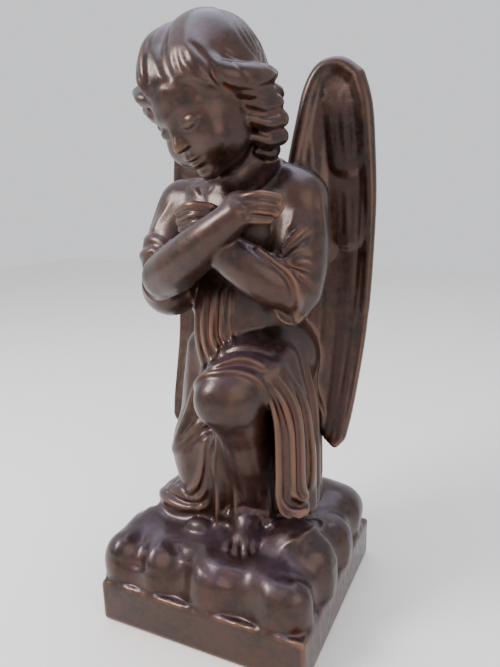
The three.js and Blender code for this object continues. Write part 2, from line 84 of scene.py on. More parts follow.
class Clay:
    def __init__(self, low, high, cell):
        self.low = np.array(low, float)
        self.cell = cell
        self.count = np.ceil((np.array(high) - self.low) / cell).astype(int) + 1
        self.field = np.full(self.count, work["far"], np.float32)
        self.axes = [(self.low[i] + cell * np.arange(self.count[i])).astype(np.float32) for i in range(3)]

    def window(self, low, high, reach):  # the part of the grid round a box, and its coordinates
        first = np.floor((np.array(low) - reach - self.low) / self.cell).astype(int)
        last = np.ceil((np.array(high) + reach - self.low) / self.cell).astype(int) + 1
        first = np.clip(first, 0, self.count)
        last = np.clip(last, 0, self.count)
        part = tuple(slice(a, b) for a, b in zip(first, last))
        x, y, z = (self.axes[i][part[i]] for i in range(3))
        return part, x[:, None, None], y[None, :, None], z[None, None, :]

    def add(self, solid, fillet=2.0):  # presses a solid on, with a fillet
        low, high, distance = solid
        part, x, y, z = self.window(low, high, fillet + 2 * self.cell)
        old = self.field[part]
        if old.size == 0:
            return
        new = distance(x, y, z)
        h = np.maximum(fillet - np.abs(old - new), 0) / fillet
        self.field[part] = np.minimum(old, new) - h * h * fillet / 4

    def cut(self, solid, fillet=2.0):  # takes a solid away, with a rounded brink
        low, high, distance = solid
        part, x, y, z = self.window(low, high, fillet + 2 * self.cell)
        old = self.field[part]
        new = -distance(x, y, z)
        h = np.maximum(fillet - np.abs(old - new), 0) / fillet
        self.field[part] = np.maximum(old, new) + h * h * fillet / 4

    def melt(self, passes=1):  # softens every edge a little, as wax does
        for _ in range(passes):
            for axis in range(3):
                f = np.moveaxis(self.field, axis, 0)
                f[1:-1] = 0.25 * (f[:-2] + f[2:]) + 0.5 * f[1:-1]

    def sample(self, p):
        q = np.clip((np.asarray(p) - self.low) / self.cell, 0, self.count - 1.001)
        i = q.astype(int)
        f = q - i
        total = 0.0
        for c in range(8):
            o = np.array([c & 1, c >> 1 & 1, c >> 2])
            w = np.prod(np.where(o, f, 1 - f), axis=-1)
            j = i + o
            total = total + w * self.field[j[..., 0], j[..., 1], j[..., 2]]
        return total

    def snap(self, points, depth=0.0):  # moves points straight onto the surface, or below it
        p = np.array(points, float)
        step = 1.5 * self.cell
        for _ in range(12):
            value = self.sample(p) + depth
            slope = np.stack([self.sample(p + e) - self.sample(p - e) for e in np.eye(3) * step], -1)
            slope /= np.maximum(np.linalg.norm(slope, axis=-1, keepdims=True), 1e-6)
            p -= slope * np.clip(value, -8, 8)[..., None] * 0.7
        return p

    def stroke(self, points, width, height, sharp=1.0):
        # A modelling tool drawn along the surface: a ridge, or a groove where height is below zero.
        points = np.asarray(points, float)
        n = len(points) - 1
        widest = float(np.max(width))
        part, x, y, z = self.window(points.min(0), points.max(0), widest)
        lift = np.zeros(self.field[part].shape, np.float32)
        start = [s.start for s in part]
        for k in range(n):
            a, b = points[k], points[k + 1]
            w = max(spread(width, k / n), spread(width, (k + 1) / n))
            sub, sx, sy, sz = self.window(np.minimum(a, b), np.maximum(a, b), w)
            t, away = toSegment(a, b, sx, sy, sz)
            along = (k + t) / n
            away = away / spread(width, along)
            rise = spread(height, along) * smooth(1 - away) ** sharp
            here = tuple(slice(s.start - o, s.stop - o) for s, o in zip(sub, start))
            old = lift[here]
            lift[here] = np.where(np.abs(rise) > np.abs(old), rise, old)
        self.field[part] -= lift

    def draw(self, points, width, height, sharp=1.0):  # a stroke along the nearest line on the surface
        self.stroke(self.snap(points), width, height, sharp)


def toSegment(a, b, x, y, z):  # how far along a segment, and how far from it
    d = b - a
    px, py, pz = x - a[0], y - a[1], z - a[2]
    t = clamp01((px * d[0] + py * d[1] + pz * d[2]) / max(float(d @ d), 1e-6))
    return t, np.sqrt((px - d[0] * t) ** 2 + (py - d[1] * t) ** 2 + (pz - d[2] * t) ** 2)


def ball(centre, radii, turn=np.eye(3)):
    c = np.array(centre, float)
    r = np.broadcast_to(np.array(radii, float), 3)

    def distance(x, y, z):
        px, py, pz = x - c[0], y - c[1], z - c[2]
        k0 = 0.0
        k1 = 1e-9
        for axis, radius in zip(turn, r):
            q = (px * axis[0] + py * axis[1] + pz * axis[2]) / radius
            k0 = k0 + q * q
            k1 = k1 + q * q / radius ** 2
        k0 = np.sqrt(k0)
        return k0 * (k0 - 1) / np.sqrt(k1)

    return c - r.max(), c + r.max(), distance


def tube(points, radii):  # a tapered rod with round ends along a line of points
    points = np.asarray(points, float)
    n = len(points) - 1
    reach = float(np.max(radii))

    def distance(x, y, z):
        best = np.full(np.broadcast_shapes(x.shape, y.shape, z.shape), work["far"], np.float32)
        axes = [x.ravel(), y.ravel(), z.ravel()]
        for k in range(n):
            a, b = points[k], points[k + 1]
            margin = reach + 12
            low, high = np.minimum(a, b) - margin, np.maximum(a, b) + margin
            part = tuple(slice(*np.searchsorted(axes[i], (low[i], high[i]))) for i in range(3))
            sx, sy, sz = x[part[0]], y[:, part[1]], z[:, :, part[2]]
            t, away = toSegment(a, b, sx, sy, sz)
            best[part] = np.minimum(best[part], away - spread(radii, (k + t) / n))
        return best

    return points.min(0) - reach, points.max(0) + reach, distance


def limb(a, b, ra, rb):
    return tube([a, b], [ra, rb])


def block(centre, half, rounding):
    c, h = np.array(centre, float), np.array(half, float)

    def distance(x, y, z):
        q = [np.abs(v - c[i]) - h[i] + rounding for i, v in enumerate((x, y, z))]
        outside = np.sqrt(sum(np.maximum(v, 0) ** 2 for v in q))
        return outside + np.minimum(np.maximum(np.maximum(q[0], q[1]), q[2]), 0) - rounding

    return c - h, c + h, distance


def comb(clay, first, last, count, width, height, ends=(0.0, 1.0), sharp=1.0):
    # Draws a row of strokes that turn gradually from one guide line into another.
    a, b = curve(first), curve(last)
    n = 24
    even = np.linspace(0, 1, n)
    a, b = (np.stack([np.interp(even, np.linspace(0, 1, len(g)), g[:, k]) for k in range(3)], 1)
            for g in (a, b))
    for i in range(count):
        line = blendOf(a, b, i / max(count - 1, 1))
        start, stop = (round(e * (n - 1)) for e in ends)
        clay.draw(line[start:stop + 1], width, height, sharp)


# Plinth and mound.
mound = {
    "plinthSide": 244.0, "plinthHeight": 49.0, "plinthEdge": 3.0,
    "lumps": [  # x, y, half-width, half-depth, height of the top
        (-100, -94, 28, 24, 94), (-62, -90, 30, 28, 93), (4, -84, 36, 36, 93), (80, -84, 34, 32, 90),
        (104, -38, 22, 36, 94), (104, 24, 22, 36, 97), (83, 84, 34, 34, 108),
        (56, 98, 28, 22, 106), (0, 94, 40, 28, 98), (-50, 94, 34, 28, 98), (-92, 84, 30, 34, 101),
        (-104, 22, 22, 40, 98), (-106, -50, 22, 36, 97), (80, -30, 38, 34, 119)],
    "dips": [  # from the top down over the rim, with radii
        ([(-82, -84, 106), (-80, -112, 86), (-80, -134, 56)], [3, 7, 10]),
        ([(-32, -84, 110), (-30, -112, 90), (-28, -136, 58)], [4, 14, 18]),
        ([(46, -92, 108), (50, -116, 86), (52, -134, 56)], [4, 12, 14]),
        ([(98, -70, 106), (120, -68, 86), (128, -68, 56)], [4, 8, 10]),
        ([(98, -6, 110), (124, -6, 88), (130, -6, 56)], [3, 8, 10]),
        ([(96, 54, 114), (124, 54, 92), (130, 54, 56)], [3, 8, 10]),
        ([(30, 100, 110), (30, 122, 86), (30, 130, 56)], [4, 8, 10]),
        ([(-26, 100, 110), (-26, 122, 86), (-26, 130, 56)], [4, 8, 10]),
        ([(-72, 98, 110), (-72, 122, 86), (-72, 130, 56)], [4, 8, 10]),
        ([(-98, 54, 112), (-122, 54, 90), (-128, 54, 56)], [3, 8, 10]),
        ([(-100, -12, 112), (-124, -12, 90), (-130, -12, 56)], [3, 8, 10])],
}


def addMound(clay):
    clay.add(block((-2, 3, 60), (120, 115, 35), 20), 4)
    clay.add(ball((0, 12, 62), (104, 100, 43)), 14)
    for x, y, halfWidth, halfDepth, top in mound["lumps"]:
        clay.add(ball((x, y, top - 30), (halfWidth, halfDepth, 30)), 18)
    for route, radii in mound["dips"]:
        clay.cut(tube(curve(route, 4), radii), 22)
    half, tall = mound["plinthSide"] / 2, mound["plinthHeight"]
    clay.add(block((0, 0, tall / 2), (half, half, tall / 2), mound["plinthEdge"]), 2)


def carveMound(clay):  # cracks in the rock, and a stone by the hem
    clay.add(ball((-34, -50, 99), (14, 9, 8)), 7)
    for route, width, height in (
            ([(66, -66, 104), (84, -52, 112), (96, -24, 104), (99, 6, 100), (84, 24, 106)], 5, 2.5),
            ([(98, -10, 100), (108, -10, 96), (119, -16, 88), (121, -50, 80)], 4, 2.2),
            ([(-112, -104, 76), (-94, -108, 72), (-70, -112, 74), (-50, -108, 70)], 6, -2.4),
            ([(-60, -84, 96), (-30, -92, 92), (-8, -84, 96)], 10, -2),
            ([(-24, -66, 100), (0, -98, 92), (30, -106, 86), (60, -98, 88)], 9, -1.6),
            ([(70, -92, 92), (96, -88, 88), (112, -70, 84)], 8, -2),
            ([(100, 40, 100), (112, 60, 96), (104, 84, 104)], 5, -2.2),
            ([(-110, 0, 96), (-116, -30, 92), (-108, -66, 98)], 7, -2)):
        clay.draw(curve(route), width, [0, height, height, 0])
    for side, height in ((-1, 1.6), (1, 1.2)):  # the run of wax where the mound meets the plinth
        for across in np.arange(-112, 113, 16):
            wave = 1.4 * math.sin(across * 0.11 + side)
            clay.draw([(across, 119 * side, 50 + wave), (across + 14, 119 * side, 50 - wave)], 5, height)
            clay.draw([(119 * side, across, 50 - wave), (119 * side, across + 14, 50 + wave)], 5, height)


# The body, legs and arms.
def addLegs(clay):
    clay.add(limb((-24, 25, 290), (-44, -14, 180), 44, 30), 10)  # kneeling thigh, under the cloth
    clay.add(limb((-44, -14, 146), (-44, 78, 122), 28, 22), 10)  # kneeling shin
    clay.add(tube([(-44, 76, 124), (-47, 92, 112), (-50, 106, 98)], [16, 14, 11]), 6)  # and foot, sole up
    clay.add(limb((36, 20, 290), (26, -54, 276), 46, 35), 8)  # raised thigh


def addShin(clay):
    clay.add(ball((20, -68, 270), (35, 34, 36)), 6)  # bare knee
    clay.add(tube(curve([(24, -62, 256), (27, -46, 222), (28, -36, 188), (26, -24, 152), (22, -16, 128),
             (20, -12, 112)]),
                  [30, 26, 24, 19.5, 17, 17]), 6)
    clay.add(ball((35, -28, 205), (20, 22, 38)), 10)  # calf
    clay.add(ball((14, -92, 268), (15, 10, 17)), 12)  # kneecap


foot = {  # each toe's root, tip and radius, from the big one
    "toes": [((13, -62, 96), (17, -79, 91), 8.0), ((23, -62, 97), (29, -80, 91), 6.0),
             ((31, -57, 97), (38, -74, 91), 5.8),
             ((38, -50, 96), (44, -66, 91), 5.5), ((43, -42, 95), (48, -55, 91), 5.2)],
}


def addFoot(clay):
    clay.add(ball((20, -14, 112), (18, 18, 20)), 6)
    clay.add(tube([(20, -12, 114), (22, -34, 106), (24, -50, 99)], [17, 16, 12]), 6)
    clay.add(ball((27, -48, 96), (21, 22, 12)), 6)
    clay.add(ball((20, 4, 100), (16, 16, 14)), 8)  # heel
    for root, tip, radius in foot["toes"]:
        middle = (np.array(root) + tip) / 2 + (0, 0, 2)
        clay.add(tube(curve([root, middle, tip]), [radius, radius * 0.92, radius]), 1.5)


def carveFoot(clay):  # gaps between the toes, their nails and the ankle's crease
    for first, second in zip(foot["toes"][:-1], foot["toes"][1:]):
        line = [(np.array(first[k]) + second[k]) / 2 + (0, 0, 4) for k in (0, 1)]
        clay.draw(curve([line[0], (line[0] + line[1]) / 2, line[1]]), 3, [-0.6, -1.8, -2.4])
    for root, tip, radius in foot["toes"]:
        nail = np.array(tip) + (np.array(tip) - root) * 0.08 + (0, 0, radius)
        clay.draw([nail + (-radius * 0.4, 0, 0), nail + (radius * 0.4, 0, 0)], 2.6, -1)
    crease = curve([(3, -18, 120), (10, -30, 122), (20, -34, 122), (32, -28, 120), (38, -14, 119)])
    clay.draw(crease, 4, [0.5, 1.6, 0.5])
    clay.draw(crease + (0, 0, 5), 4, [-0.5, -1.4, -0.5])


def addTorso(clay):
    clay.add(ball((0, 6, 432), (68, 46, 62)), 10)
    clay.add(ball((2, 10, 350), (56, 46, 66)), 14)
    clay.add(ball((6, 22, 296), (68, 54, 52)), 14)
    clay.add(limb((-64, 8, 455), (66, 8, 463), 30, 31), 12)
    clay.add(limb((0, 4, 478), (-4, -12, 515), 26, 25), 10)  # neck
    clay.add(limb((16, 10, 494), (56, 10, 470), 22, 26), 10)  # slope of the left shoulder
    clay.add(ball((-8, -14, 330), (34, 33, 56)), 12)  # belly


def carveNeckline(clay):
    collar = curve([(-44, -26, 484), (-26, -44, 470), (0, -52, 462), (24, -46, 468), (42, -34, 478),
             (52, -14, 492),
                    (44, 14, 500), (0, 34, 496), (-40, 20, 494), (-52, -2, 490), (-44, -26, 484)])
    clay.draw(collar, 5, 2.2)
    clay.draw(collar + (0, 0, 4), 4, -1.6)
    for dip in ([(-38, -40, 478), (-26, -46, 470), (-20, -48, 458)],
             [(-14, -50, 474), (-8, -54, 464), (-10, -54, 452)]):
        clay.draw(curve(dip), 8, [-1, -4, -1])
    clay.draw(curve([(-30, -40, 484), (-20, -48, 470), (-12, -52, 456)]), 6, [0, 3, 1])


rightArm = [(-56, -52, 389), (-36, -62, 399), (-12, -71, 414), (14, -76, 433), (38, -75, 450)]
leftArm = [(72, -38, 380), (62, -48, 386), (44, -58, 399), (22, -62, 414), (0, -60, 430), (-14, -56, 441)]


def addSleeves(clay):
    clay.add(tube(curve([(-64, 8, 456), (-68, -4, 430), (-72, -18, 404)]), [29, 31, 33]), 8)
    clay.add(ball((-68, -28, 372), (33, 28, 32)), 8)  # the right sleeve hangs below the elbow
    clay.add(tube(curve([(70, 8, 462), (75, -6, 430), (77, -18, 400), (75, -22, 376)]), [28, 29, 30, 28]), 8)
    clay.add(limb((76, -28, 374), (76, -32, 356), 26, 16), 8)  # the left one's hanging corner


def carveSleeves(clay):
    rims = [  # where each sleeve ends round the arm, and the side that the arm is on
        ([(-36, -68, 424), (-56, -58, 420), (-78, -52, 411), (-89, -46, 394), (-86, -50, 374),
          (-72, -56, 362),
          (-50, -62, 362), (-30, -66, 366)], (5, 1, 0), 2.2),
        ([(56, -66, 420), (72, -64, 410), (84, -56, 392), (87, -48, 370), (84, -42, 350)], (-6, -1, 0), 3)]
    for route, armSide, height in rims:
        line = clay.snap(curve(route))
        clay.stroke(line, 5.5, height)
        clay.draw(line + armSide, 4.5, -height * 1.1, 1.5)
    lip = clay.snap(curve([(52, -52, 364), (56, -52, 351), (69, -48, 341), (82, -42, 342), (89, -40, 352)]))
    clay.stroke(lip, 5, 2.6)
    clay.draw(curve([(58, -52, 360), (66, -54, 352), (78, -50, 350)]), 8, [-3, -7, -3])
    star = [([(68, -58, 421), (80, -54, 431), (91, -46, 439), (101, -32, 446)], 3),
            ([(69, -58, 418), (84, -54, 420), (98, -42, 421)], 2.4),
            ([(72, -58, 414), (90, -52, 410), (105, -30, 399)], 3),
            ([(84, -54, 403), (95, -46, 391), (104, -30, 375)], 2.8),
            ([(64, -58, 428), (74, -52, 446), (84, -38, 460)], 2)]
    for route, height in star:
        line = clay.snap(curve(route))
        clay.stroke(line, [3, 6, 8], [height, height, 0.5])
        clay.draw(line + (2, 0, -7), [3, 5, 6], [-height, -height * 0.8, 0])
    puffs = [([(-104, -8, 424), (-96, -30, 424), (-76, -46, 427), (-54, -54, 424)], 2.2),
             ([(-106, -14, 404), (-98, -36, 406), (-78, -50, 413), (-60, -56, 416)], 2.4)]
    for route, height in puffs:
        line = clay.snap(curve(route))
        clay.stroke(line, [7, 8, 7], [height * 0.5, height, 1])
        clay.draw(line + (0, 0, 8), [5, 6, 4], [-height * 0.3, -height * 0.8, 0])
    for route in ([(-84, -14, 470), (-96, -14, 448), (-100, -24, 432)],
             [(-62, -34, 470), (-78, -38, 450), (-86, -44, 436)],
                  [(82, 2, 476), (98, -8, 456), (104, -14, 432)],
                  [(88, 30, 470), (98, 26, 430), (96, 14, 390)],
                  [(-84, 30, 466), (-96, 22, 430), (-92, 12, 396)],
                  [(-100, 4, 440), (-104, 0, 410), (-98, -4, 380)],
                  [(104, 8, 440), (106, 0, 410), (100, -4, 376)]):
        clay.draw(curve(route), [4, 8, 7], [0, 2.4, 1])


hands = {  # each finger's knuckle, middle, tip and radius
    "right": [((44, -74, 466), (61, -72, 468), (75, -60, 465), 5.0),
             ((45, -76, 460), (62, -73, 461), (76, -59, 458), 5.0),
              ((44, -78, 453), (60, -74, 453.5), (73, -61, 451), 4.8),
              ((40, -78, 446), (54, -74, 446), (66, -63, 444.5), 4.5)],
    "left": [((4, -60, 457), (-16, -64, 459), (-37, -55, 453), 5.8),
             ((4, -60, 450), (-14, -65, 450), (-34, -57, 444), 5.6),
             ((2, -60, 442), (-12, -65, 442), (-31, -59, 436), 5.4)],
}


def addArms(clay):
    clay.add(tube(curve(leftArm), [26, 25, 23, 20, 15, 12]), 3)
    clay.add(tube(curve(rightArm), [25, 25, 23, 18.5, 14.5]), 2.5)
    clay.add(ball((-64, -48, 384), (20, 20, 20)), 8)  # elbow
    palm = np.array(Euler((0.1, -0.25, 0.35)).to_matrix().transposed())
    clay.add(ball((40, -70, 455), (18, 10, 18), palm), 6)  # right hand, flat on the breast
    clay.add(ball((-2, -54, 448), (15, 9, 13)), 5)  # left hand, half under the right forearm
    for fingers in hands.values():
        for root, middle, tip, radius in fingers:
            clay.add(tube(curve([root, middle, tip]), [radius * 0.9, radius, radius * 0.86]), 1.2)


def carveHands(clay):  # grooves between the fingers
    for fingers in hands.values():
        for first, second in zip(fingers[:-1], fingers[1:]):
            line = curve([(np.array(first[k]) + second[k]) / 2 + (0, -5, 0) for k in range(3)])
            clay.draw(line, 3.2, [-0.3, -2.4, -3.6, -3.4])


# The tunic from the waist down.
skirt = {
    "middle": (-6, 24), "foot": 96, "waist": 410, "folds": 15, "foldHeight": 5.5,
    "halfWidth": [79, 77, 72, 57, 45, 40], "halfDepth": [64, 60, 56, 46, 36, 20],
}


def addSkirt(clay):
    cx, cy = skirt["middle"]
    foot, waist = skirt["foot"], skirt["waist"]

    def distance(x, y, z):
        t = (z - foot) / (waist - foot)
        a, b = spread(skirt["halfWidth"], t), spread(skirt["halfDepth"], t)
        px, py = x - cx, y - cy
        k0 = np.sqrt((px / a) ** 2 + (py / b) ** 2)
        k1 = np.sqrt((px / a ** 2) ** 2 + (py / b ** 2) ** 2) + 1e-6
        angle = np.arctan2(py, px)
        phase = angle * skirt["folds"] + 1.2 * np.sin(angle * 4 + 1) + 0.5 * np.sin(z / 38 + angle * 3)
        wave = 1 - 2 * np.abs(np.sin(phase / 2)) ** 1.4  # broad folds with narrow valleys
        fold = skirt["foldHeight"] * clamp01((395 - z) / 150) * wave
        return np.maximum(np.maximum(k0 * (k0 - 1) / k1 - fold, z - waist), foot - 12 - z)

    clay.add(((cx - 110, cy - 80, 70), (cx + 110, cy + 80, waist + 10), distance), 10)


def addCurtain(clay):  # cloth over the raised thigh and its hanging folds
    clay.add(limb((37, 20, 292), (30, -40, 286), 48, 37), 8)
    sheet = [  # each from the thigh to the hem, with its radii
        ([(58, -52, 288), (70, -50, 255), (76, -50, 215), (78, -52, 175), (80, -52, 148)], [9, 9, 8, 8, 8]),
        ([(64, -42, 296), (78, -42, 258), (84, -40, 215), (86, -42, 170), (90, -44, 146)],
         [10, 10, 9, 9, 9]),
        ([(64, -22, 302), (80, -24, 258), (86, -20, 208), (87, -20, 165), (89, -22, 140)],
         [12, 11, 11, 11, 11]),
        ([(60, 2, 302), (77, 0, 258), (81, 4, 208), (81, 8, 160), (82, 8, 130)], [14, 12, 11, 11, 11]),
        ([(56, 28, 300), (69, 26, 258), (73, 32, 208), (74, 36, 160), (74, 38, 118)], [14, 12, 12, 12, 12])]
    for route, radii in sheet:
        clay.add(tube(curve(route), radii), 10)


def addKneelingCloth(clay):
    clay.add(ball((-52, -12, 178), (30, 28, 48)), 12)  # over the kneeling knee
    clay.add(tube(curve([(-50, 0, 300), (-58, 2, 250), (-66, 6, 190), (-74, 10, 124)]), [14, 15, 16, 16]),
             12)
    clay.add(ball((-64, -2, 104), (47, 38, 26)), 12)  # hem spread on the ground
    clay.add(limb((-26, -34, 200), (-36, -20, 110), 12, 16), 10)
    clay.add(tube(curve([(2, -46, 250), (0, -34, 205), (-2, -24, 160), (0, -20, 118)]), [14, 15, 17, 20]),
             10)


def carveKneelingCloth(clay):
    folds = [  # folds of the hem, one outside the other, with their heights
        ([(-15, -58, 245), (-20, -54, 215), (-26, -46, 180), (-38, -38, 146), (-60, -28, 128),
          (-82, -16, 126)], 3.5),
        ([(-10, -56, 230), (-17, -50, 195), (-22, -44, 160), (-32, -38, 134), (-56, -32, 120),
          (-88, -18, 119)], 4),
        ([(-8, -52, 210), (-16, -46, 170), (-22, -40, 140), (-30, -36, 120), (-54, -38, 111),
          (-86, -30, 110),
          (-108, -12, 108)], 4.5)]
    for route, height in folds:
        line = clay.snap(curve(route))
        clay.stroke(line, [4, 6, 7, 7], height)
    for a, b in zip(folds[:-1], folds[1:]):
        line = (curve(a[0][:6]) + curve(b[0][:6])) / 2
        clay.draw(line, [3, 5, 5, 5], -3.5, 1.5)
    ridges = [
        ([(-36, -38, 350), (-38, -44, 313), (-44, -46, 281), (-56, -42, 246), (-63, -38, 207),
          (-70, -30, 185)], 4),
        ([(-14, -58, 262), (-27, -54, 236), (-44, -48, 214), (-65, -38, 188), (-76, -26, 176)], 4.5)]
    for route, height in ridges:
        line = clay.snap(curve(route))
        clay.stroke(line, [6, 8, 8], [1, height, height, 1])
        clay.draw(line + (8, -3, -4), [5, 7, 6], [-0.5, -3, -0.5])


def carveCurtain(clay):
    hem = curve([(-9, -60, 256), (-8, -80, 284), (4, -92, 304), (22, -94, 312), (40, -84, 306),
             (52, -70, 292), (58, -62, 280)])
    clay.add(tube(clay.snap(hem, 1.5), [3, 4, 4.5, 4.5, 4.5, 4.5, 3.5]), 2)
    edge = [(57, -62, 284), (66, -60, 264), (70, -58, 236), (72, -60, 190), (73, -62, 164),
            (80, -64, 151), (92, -62, 149),
            (100, -56, 152)]
    clay.add(tube(curve(edge), [3, 4, 4, 4, 4.5, 5, 4.5, 3]), 3)
    pleats = [
        ([(-4, -72, 296), (8, -82, 314), (26, -82, 323), (42, -72, 318), (54, -58, 302)], 3, (0, -3, -6)),
        ([(0, -62, 312), (20, -62, 329), (42, -56, 330), (60, -44, 318)], 2, (0, -3, -6)),
        ([(60, -64, 292), (77, -62, 271), (86, -56, 235), (87, -56, 188), (87, -58, 168)], 4, (-6, -2, 0)),
        ([(70, -56, 296), (90, -50, 268), (93, -46, 239), (94, -48, 185), (97, -46, 165)], 3.5, (-4, -4, 0)),
        ([(74, -44, 302), (97, -32, 264), (101, -28, 228), (102, -26, 185), (104, -30, 165)], 4,
         (-3, -5, 0)),
        ([(72, -4, 308), (92, 0, 262), (96, 6, 205), (97, 10, 150)], 3, (-2, -7, 0)),
        ([(66, 24, 306), (84, 26, 262), (88, 32, 205), (90, 34, 150)], 3, (2, -7, 0)),
        ([(84, -60, 176), (90, -56, 165), (100, -48, 160), (106, -38, 164)], 3, (0, -2, -5)),
        ([(80, -66, 168), (84, -64, 158), (93, -58, 154), (101, -50, 150)], 2.5, (0, -2, -4))]
    for route, height, groove in pleats:
        line = clay.snap(curve(route))
        clay.stroke(line, [4, 6, 6, 6], [0, height, height, height * 0.6])
        clay.draw(line + groove, [3, 5, 5, 5], [0, -height, -height, -height * 0.5], 1.5)


def carveFrontFolds(clay):  # the tunic's folds under the arms
    folds = [
        ([(-33, -40, 372), (-34, -44, 345), (-36, -46, 313), (-38, -48, 285)], 3.5),
        ([(-22, -44, 376), (-22, -48, 350), (-21, -52, 318), (-20, -56, 285), (-16, -60, 255)], 5),
        ([(-9, -46, 378), (-8, -52, 350), (-8, -56, 322), (-4, -62, 300)], 5),
        ([(3, -46, 378), (5, -52, 350), (5, -56, 326), (8, -62, 314)], 4.5),
        ([(13, -46, 376), (13, -52, 352), (14, -56, 330)], 3.5)]
    for route, height in folds:
        clay.draw(curve(route), [4, 6, 6.5], [1, height, height])
    for first, second in zip(folds[:-1], folds[1:]):
        n = min(len(first[0]), len(second[0]))
        line = curve([(np.array(p) + np.array(q)) / 2 for p, q in zip(first[0][:n], second[0][:n])])
        clay.draw(line, [3, 5, 5], [-1, -4.5, -3], 1.4)


def cutHollow(clay):  # the dark hollows on both sides of the bare shin
    clay.cut(tube(curve([(-5, -80, 236), (-2, -60, 200), (0, -46, 160), (-2, -38, 122)]), [5, 7, 7, 6]), 6)
    clay.cut(tube(curve([(59, -74, 262), (59, -60, 235), (58, -52, 190), (58, -50, 140)]), [3, 6, 8, 10]), 3)


# Head and hair.
head = {"centre": (-9, -36, 556), "yaw": -16, "pitch": 32, "roll": 13}  # turned and bowed, degrees
turn = (Matrix.Rotation(math.radians(head["yaw"]), 3, "Z")
        @ Matrix.Rotation(math.radians(head["pitch"]), 3, "X")
        @ Matrix.Rotation(math.radians(-head["roll"]), 3, "Y"))
headAxes = np.array(turn.transposed())  # rows: the head's side, back and up


def onHead(side, front, up):
    return np.array(head["centre"]) + headAxes[0] * side - headAxes[1] * front + headAxes[2] * up


def headBall(side, front, up, radii):
    return ball(onHead(side, front, up), radii, headAxes)


def addHead(clay):
    clay.add(headBall(0, -6, 14, (49, 58, 54)), 6)  # skull
    clay.add(headBall(0, 14, -14, (41, 41, 44)), 10)  # face
    clay.add(headBall(0, 18, -34, (35, 33, 25)), 10)  # jaw
    clay.add(headBall(0, 44, -50, (11, 10, 9)), 9)  # chin
    for side in (-1, 1):
        clay.add(headBall(23 * side, 34, -22, (17, 17, 18)), 9)  # cheeks
        clay.cut(headBall(18 * side, 60, 0, (11, 7, 6.5)), 6)  # eye sockets
    clay.add(tube([onHead(0, 50, 8), onHead(0, 54, -4), onHead(0, 60, -15)], [3.5, 4, 6]), 5)  # nose
    for side in (-1, 1):
        clay.add(headBall(6 * side, 56, -16.5, (3.8, 4.5, 3.6)), 2)
        clay.add(headBall(18 * side, 44, -1.5, (11, 9, 7.5)), 3)  # lowered eyelids
    lips = [([(-11, 50, -32), (-4, 55, -29.6), (0, 54.5, -30.4), (4, 55, -29.6), (11, 50, -32)],
             [1.8, 3.2, 2.8, 3.2, 1.8]),
            ([(-8, 50, -36), (0, 54, -37), (8, 50, -36)], [2, 3.8, 2])]
    for route, radii in lips:
        clay.add(tube(curve([onHead(*p) for p in route]), radii), 3)


def carveFace(clay):
    brow = curve([onHead(-30, 40, 11), onHead(-18, 50, 14), onHead(-6, 53, 11), onHead(6, 53, 11),
             onHead(18, 50, 14),
                  onHead(30, 40, 11)])
    clay.draw(brow, 9, 1.5)
    for side in (-1, 1):
        lid = curve([onHead(9 * side, 50, -5), onHead(18 * side, 53, -7.5), onHead(27 * side, 46, -5)])
        clay.draw(lid, 3, -1.6)
        fold = curve([onHead(8 * side, 50, 3), onHead(18 * side, 52, 6.5), onHead(28 * side, 44, 3)])
        clay.draw(fold, 3, -1.2)
        clay.draw(curve([onHead(4 * side, 56, -20), onHead(8 * side, 54, -20)]), 2.6, -1.4)
    mouth = curve([onHead(-12, 50, -32.5), onHead(-5, 56, -33.6), onHead(0, 57, -33), onHead(5, 56, -33.6),
                   onHead(12, 50, -32.5)])
    clay.draw(mouth, 2.8, -2)
    clay.draw(curve([onHead(-7, 52, -43), onHead(0, 54, -43), onHead(7, 52, -43)]), 6, -1.6)
    clay.draw(curve([onHead(0, 57, -21), onHead(0, 56, -27)]), 3.5, -1)


